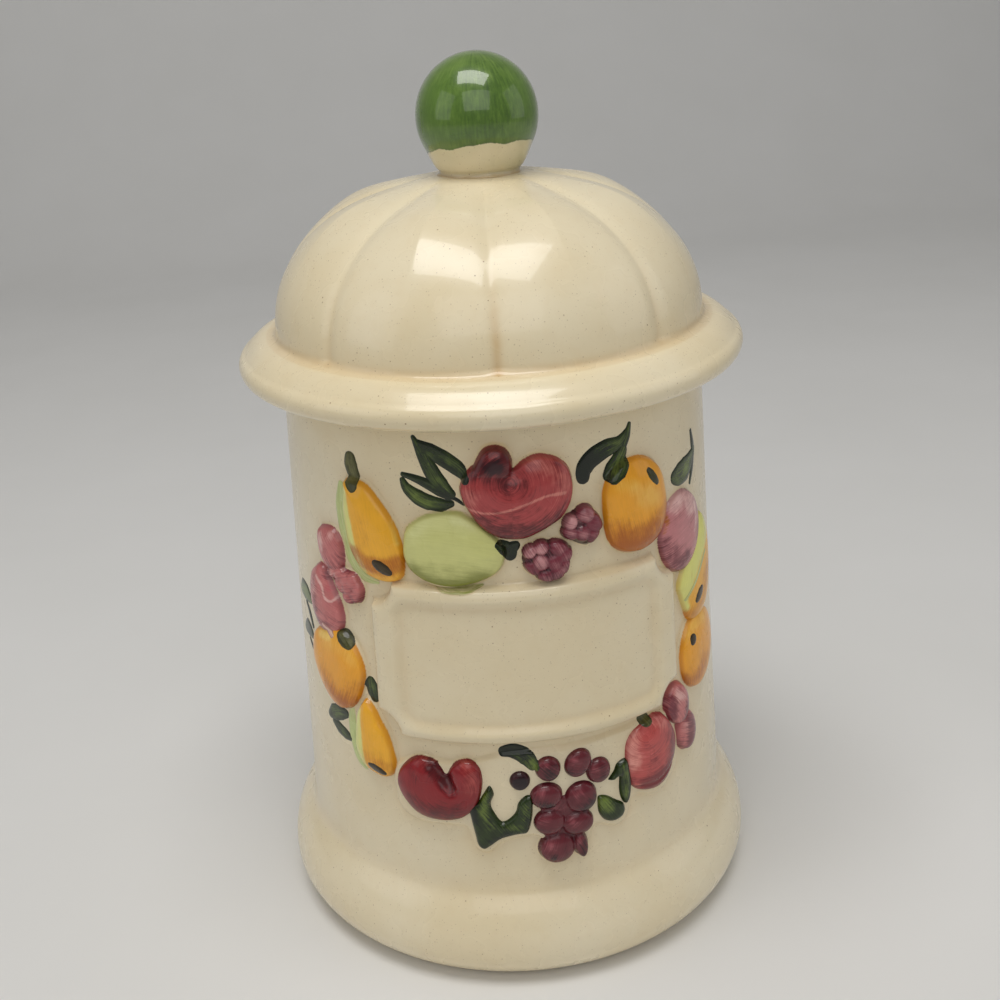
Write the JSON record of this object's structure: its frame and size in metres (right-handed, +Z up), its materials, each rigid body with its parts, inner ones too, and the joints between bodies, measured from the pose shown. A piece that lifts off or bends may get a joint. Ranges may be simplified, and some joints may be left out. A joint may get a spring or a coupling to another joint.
{
  "type": "biscuit jar",
  "caption": "Cylindrical glazed earthenware biscuit jar with a rolled foot, a fruit wreath round a bare plaque, and a lift-off lobed dome lid with a ball knob.",
  "frame": {"origin": "middle of the foot, on the surface the jar stands on", "axes": "+Z up along the jar's axis; the plaque faces -Y, so +X is to the viewer's right"},
  "size_m": [0.176, 0.176, 0.3],
  "materials": {
    "cream_glaze": "glossy speckled cream glaze",
    "green_glaze": "glossy glaze, hand painted",
    "red_glaze": "glossy glaze, hand painted",
    "rose_glaze": "glossy glaze, hand painted",
    "lime_glaze": "glossy glaze, hand painted",
    "pear_glaze": "glossy glaze, hand painted",
    "orange_glaze": "glossy glaze, hand painted",
    "plum_glaze": "glossy glaze, hand painted",
    "grape_glaze": "glossy glaze, hand painted",
    "leaf_glaze": "glossy glaze, hand painted"
  },
  "bodies": {
    "jar": {"jar_body": "cream_glaze", "plaque": "cream_glaze", "top_apple": "red_glaze", "lime": "lime_glaze", "upper_pear": "pear_glaze", "left_plums": "plum_glaze", "left_orange": "orange_glaze", "lower_pear": "pear_glaze", "bottom_apple": "red_glaze", "bottom_leaves": "leaf_glaze", "grape_bunch": "grape_glaze", "grape_leaves": "leaf_glaze", "right_apple": "rose_glaze", "right_berries": "plum_glaze", "right_orange": "orange_glaze", "right_pear": "pear_glaze", "mauve_plum": "plum_glaze", "top_orange": "orange_glaze", "top_berries": "grape_glaze"},
    "lid": {"lid": "cream_glaze", "knob": "green_glaze"}
  },
  "joints": [
    {"name": "lid_lift", "type": "slide", "parent": "jar", "child": "lid", "axis": [0, 0, 1], "range_m": [0, 0.08]}
  ]
}
